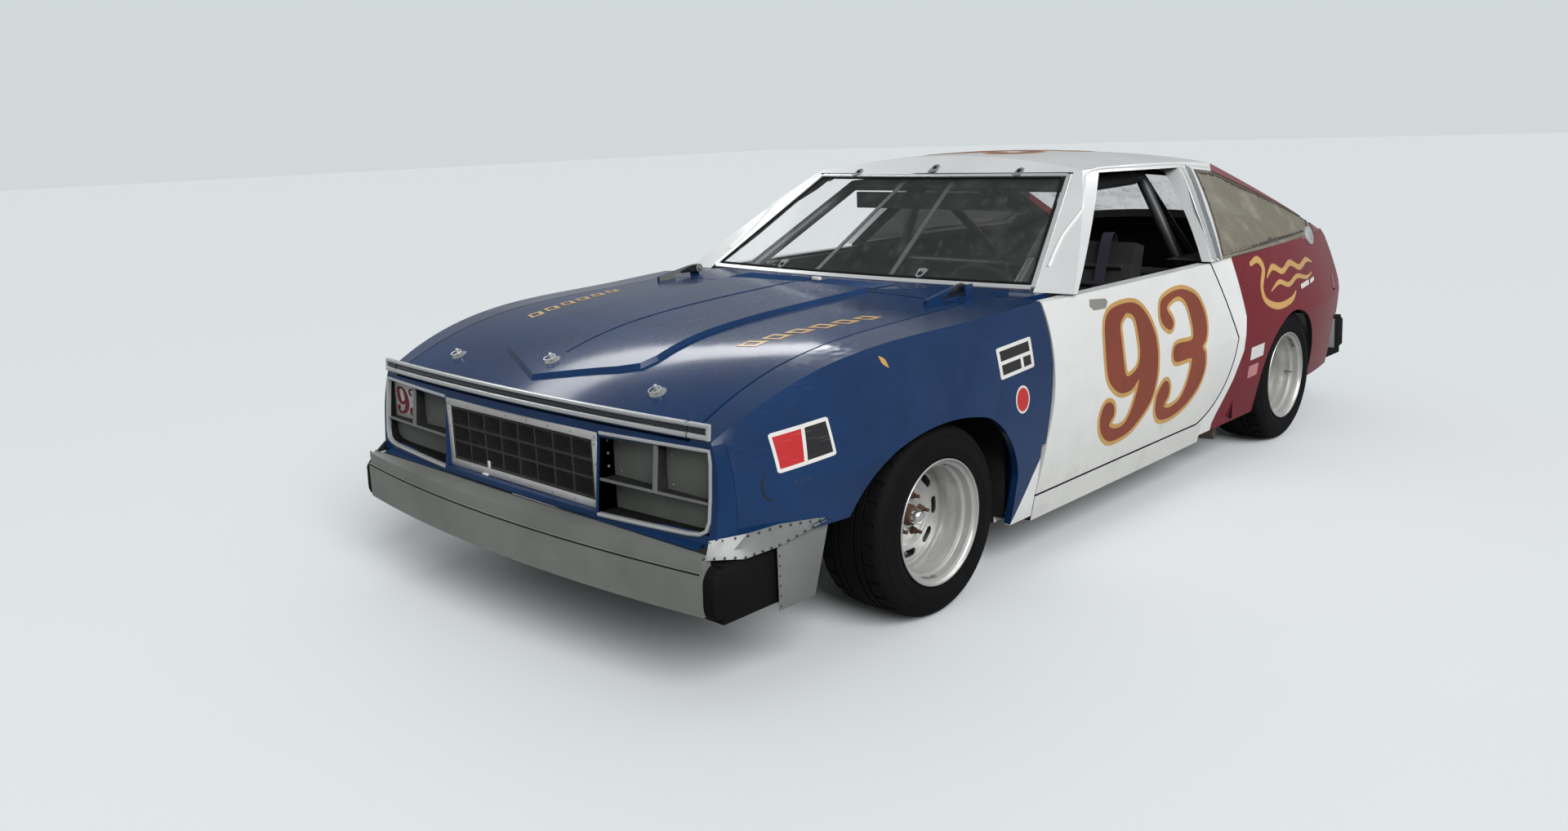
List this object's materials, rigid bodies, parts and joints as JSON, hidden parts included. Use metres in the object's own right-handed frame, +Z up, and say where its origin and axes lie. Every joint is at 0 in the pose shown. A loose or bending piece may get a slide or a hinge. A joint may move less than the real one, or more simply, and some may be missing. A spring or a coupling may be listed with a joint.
{
  "type": "short track race car made from a liftback",
  "caption": "Worn liftback race car with a caged cabin, opening doors, bonnet and hatch, and steered front wheels.",
  "frame": {"origin": "on the ground under the middle of the bounding box", "axes": "+X is forward, +Y is to the left of the car, +Z is up"},
  "size_m": [4.2697, 1.831, 1.2552],
  "materials": {
    "floor": "matt dark paint with dust",
    "frame": "matt dark paint",
    "blue_paint": "glossy dark blue, dented and scuffed",
    "red_paint": "glossy dark red",
    "white_paint": "white, dusty",
    "grille": "dark mesh in a pale riveted frame",
    "primer": "dull grey sheet",
    "clear_sheet": "clear sheet",
    "closed_sheet": "dusty beige sheet",
    "spoiler": "grey",
    "bumper": "dull, scuffed",
    "rubber": "black rubber ends and dull side plates",
    "cage": "dark grey",
    "seat": "black",
    "mirror": "mirror in a dark frame",
    "engine": "dull",
    "exhaust": "heat stained",
    "tyre": "worn",
    "rim": "silver with rust at the hub"
  },
  "bodies": {
    "body": {"floor_pan": "floor", "firewall": "floor", "front_structure": "frame", "nose_panel": "blue_paint", "grille": "grille", "lamp_boxes": "primer", "fender_left": "blue_paint", "fender_right": "blue_paint", "cowl_panel": "blue_paint", "quarter_left": "red_paint", "quarter_right": "red_paint", "roof_frame": "white_paint", "windshield": "clear_sheet", "quarter_windows": "closed_sheet", "rear_floor": "floor", "tail_panel": "red_paint", "spoiler": "spoiler", "front_bumper": "bumper", "rear_bumper": "bumper", "bumper_ends": "rubber", "roll_cage": "cage", "seat": "seat", "dashboard": "frame", "wide_mirror": "mirror", "engine_block": "engine", "front_crossmember": "frame", "rear_axle": "frame", "exhaust_pipe": "exhaust"},
    "knuckle_left": {"knuckle_left": "frame"},
    "knuckle_right": {"knuckle_right": "frame"},
    "steering_wheel": {"steering_wheel": "seat"},
    "door_left": {"door_left": "white_paint"},
    "door_right": {"door_right": "white_paint"},
    "hood": {"hood": "blue_paint"},
    "hatch": {"hatch_frame": "white_paint", "hatch_glass": "clear_sheet"},
    "wheel_front_left": {"tyre_front_left": "tyre", "rim_front_left": "rim"},
    "wheel_front_right": {"tyre_front_right": "tyre", "rim_front_right": "rim"},
    "wheel_rear_left": {"tyre_rear_left": "tyre", "rim_rear_left": "rim"},
    "wheel_rear_right": {"tyre_rear_right": "tyre", "rim_rear_right": "rim"}
  },
  "joints": [
    {"name": "steer_left", "type": "hinge", "parent": "body", "child": "knuckle_left", "pos_m": [1.25, 0.69, 0.278], "axis": [0, 0, 1], "range_deg": [-26, 26]},
    {"name": "spin_front_left", "type": "hinge", "parent": "knuckle_left", "child": "wheel_front_left", "pos_m": [1.25, 0.765, 0.278], "axis": [0, 1, 0], "continuous": true},
    {"name": "spin_rear_left", "type": "hinge", "parent": "body", "child": "wheel_rear_left", "pos_m": [-1.188, 0.765, 0.278], "axis": [0, 1, 0], "continuous": true},
    {"name": "door_left_swing", "type": "hinge", "parent": "body", "child": "door_left", "pos_m": [0.652, 0.862, 0.53], "axis": [0, 0, -1], "range_deg": [0, 60]},
    {"name": "steer_right", "type": "hinge", "parent": "body", "child": "knuckle_right", "pos_m": [1.25, -0.69, 0.278], "axis": [0, 0, 1], "range_deg": [-26, 26]},
    {"name": "spin_front_right", "type": "hinge", "parent": "knuckle_right", "child": "wheel_front_right", "pos_m": [1.25, -0.765, 0.278], "axis": [0, 1, 0], "continuous": true},
    {"name": "spin_rear_right", "type": "hinge", "parent": "body", "child": "wheel_rear_right", "pos_m": [-1.188, -0.765, 0.278], "axis": [0, 1, 0], "continuous": true},
    {"name": "door_right_swing", "type": "hinge", "parent": "body", "child": "door_right", "pos_m": [0.652, -0.862, 0.53], "axis": [0, 0, 1], "range_deg": [0, 60]},
    {"name": "steering_wheel_turn", "type": "hinge", "parent": "body", "child": "steering_wheel", "pos_m": [0.3, 0.4, 0.715], "axis": [-0.9135, 0, 0.4067], "range_deg": [-320, 320]},
    {"name": "hood_lift", "type": "hinge", "parent": "body", "child": "hood", "pos_m": [0.764, 0, 0.864], "axis": [0, -1, 0], "range_deg": [0, 55]},
    {"name": "hatch_lift", "type": "hinge", "parent": "body", "child": "hatch", "pos_m": [-1.059, 0, 1.196], "axis": [0, 1, 0], "range_deg": [0, 60]}
  ],
  "couplings": [
    {"joint": "steer_right", "follows": "steer_left", "ratio": 1},
    {"joint": "steering_wheel_turn", "follows": "steer_left", "ratio": 12}
  ]
}
